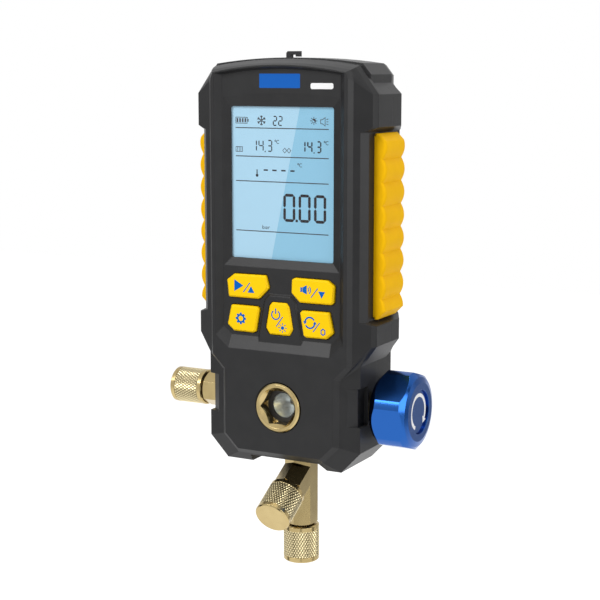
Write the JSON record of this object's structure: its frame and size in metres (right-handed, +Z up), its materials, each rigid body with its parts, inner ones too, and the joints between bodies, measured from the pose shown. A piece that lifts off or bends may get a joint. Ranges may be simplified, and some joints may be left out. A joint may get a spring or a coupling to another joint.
{
  "type": "digital refrigerant manifold gauge",
  "caption": "Hand-held digital pressure gauge on a brass manifold, with keypad and display, sight glass, side valve knob and capped flare ports.",
  "frame": {"origin": "centre of the arch of the stowed hanging hook, in the middle of the hook's thickness", "axes": "+X to the valve knob's side, +Y from the display to the back, +Z up"},
  "size_m": [0.1211, 0.0479, 0.2248],
  "materials": {
    "case": "fine moulded texture",
    "hook": "satin",
    "window": "clear",
    "display": "reflective display",
    "board": "solder mask",
    "chip": "moulded",
    "mat": "matt",
    "key": "satin",
    "grip": "satin",
    "brass": "machined",
    "gasket": "matt",
    "clear_glass": "polished",
    "reflector": "polished",
    "knob": "anodised",
    "steel": "zinc plated",
    "cell": "printed sleeve"
  },
  "bodies": {
    "case": {"front_case": "case", "rear_case": "case", "hook_guide": "case", "lcd_window": "window", "lcd_panel": "display", "main_board": "board", "processor": "chip", "buzzer": "chip", "keypad_mat": "mat", "grip_left": "grip", "grip_right": "grip", "manifold_block": "brass", "sight_collar": "brass", "sight_gasket": "gasket", "sight_glass": "clear_glass", "sight_reflector": "reflector", "left_port": "brass", "y_fitting": "brass", "valve_bonnet": "brass", "stem_packing": "gasket", "pressure_sensor": "steel", "battery_cells": "cell", "battery_contacts": "steel", "case_screws": "steel", "block_screws": "steel", "board_screws": "steel"},
    "key_start_up": {"key_start_up": "key"},
    "key_sound_down": {"key_sound_down": "key"},
    "key_settings": {"key_settings": "key"},
    "key_power_light": {"key_power_light": "key"},
    "key_cycle_zero": {"key_cycle_zero": "key"},
    "plunger": {"valve_plunger": "brass"},
    "knob": {"valve_knob": "knob", "valve_stem": "steel", "knob_screw": "steel", "knob_disc": "knob"},
    "left_seal": {"seal_left": "gasket"},
    "left_cap": {"cap_left": "brass"},
    "down_seal": {"seal_down": "gasket"},
    "down_cap": {"cap_down": "brass"},
    "front_seal": {"seal_front": "gasket"},
    "front_cap": {"cap_front": "brass"},
    "hook": {"hanging_hook": "hook"},
    "door": {"battery_door": "case"}
  },
  "joints": [
    {"name": "key_start_up_press", "type": "slide", "parent": "case", "child": "key_start_up", "axis": [0, 1, 0], "range_m": [0, 0.001], "stiffness_N_per_m": 600},
    {"name": "key_sound_down_press", "type": "slide", "parent": "case", "child": "key_sound_down", "axis": [0, 1, 0], "range_m": [0, 0.001], "stiffness_N_per_m": 600},
    {"name": "key_settings_press", "type": "slide", "parent": "case", "child": "key_settings", "axis": [0, 1, 0], "range_m": [0, 0.001], "stiffness_N_per_m": 600},
    {"name": "key_power_light_press", "type": "slide", "parent": "case", "child": "key_power_light", "axis": [0, 1, 0], "range_m": [0, 0.001], "stiffness_N_per_m": 600},
    {"name": "key_cycle_zero_press", "type": "slide", "parent": "case", "child": "key_cycle_zero", "axis": [0, 1, 0], "range_m": [0, 0.001], "stiffness_N_per_m": 600},
    {"name": "valve_lift", "type": "slide", "parent": "case", "child": "plunger", "axis": [1, 0, 0], "range_m": [0, 0.003]},
    {"name": "valve_turn", "type": "hinge", "parent": "plunger", "child": "knob", "pos_m": [0, 0.0043, -0.1411], "axis": [1, 0, 0], "range_deg": [0, 1080]},
    {"name": "left_cap_travel", "type": "slide", "parent": "case", "child": "left_seal", "axis": [-1, 0, 0], "range_m": [0, 0.0127]},
    {"name": "left_cap_turn", "type": "hinge", "parent": "left_seal", "child": "left_cap", "pos_m": [0, 0.0043, -0.1411], "axis": [-1, 0, 0], "range_deg": [0, 3600]},
    {"name": "down_cap_travel", "type": "slide", "parent": "case", "child": "down_seal", "axis": [0, 0, -1], "range_m": [0, 0.0127]},
    {"name": "down_cap_turn", "type": "hinge", "parent": "down_seal", "child": "down_cap", "pos_m": [0, 0.0043, -0.173], "axis": [0, 0, -1], "range_deg": [0, 3600]},
    {"name": "front_cap_travel", "type": "slide", "parent": "case", "child": "front_seal", "axis": [0, -0.866, -0.5], "range_m": [0, 0.0127]},
    {"name": "front_cap_turn", "type": "hinge", "parent": "front_seal", "child": "front_cap", "pos_m": [0, 0.0043, -0.173], "axis": [0, -0.866, -0.5], "range_deg": [0, 3600]},
    {"name": "hook_pull", "type": "slide", "parent": "case", "child": "hook", "axis": [0, 0, 1], "range_m": [0, 0.025]},
    {"name": "door_open", "type": "hinge", "parent": "case", "child": "door", "pos_m": [0, 0.0203, -0.0801], "axis": [-1, 0, 0], "range_deg": [0, 95]}
  ],
  "couplings": [
    {"joint": "valve_turn", "follows": "valve_lift", "rad_per_m": 6283.2},
    {"joint": "left_cap_turn", "follows": "left_cap_travel", "rad_per_m": 4947.4},
    {"joint": "down_cap_turn", "follows": "down_cap_travel", "rad_per_m": 4947.4},
    {"joint": "front_cap_turn", "follows": "front_cap_travel", "rad_per_m": 4947.4}
  ]
}
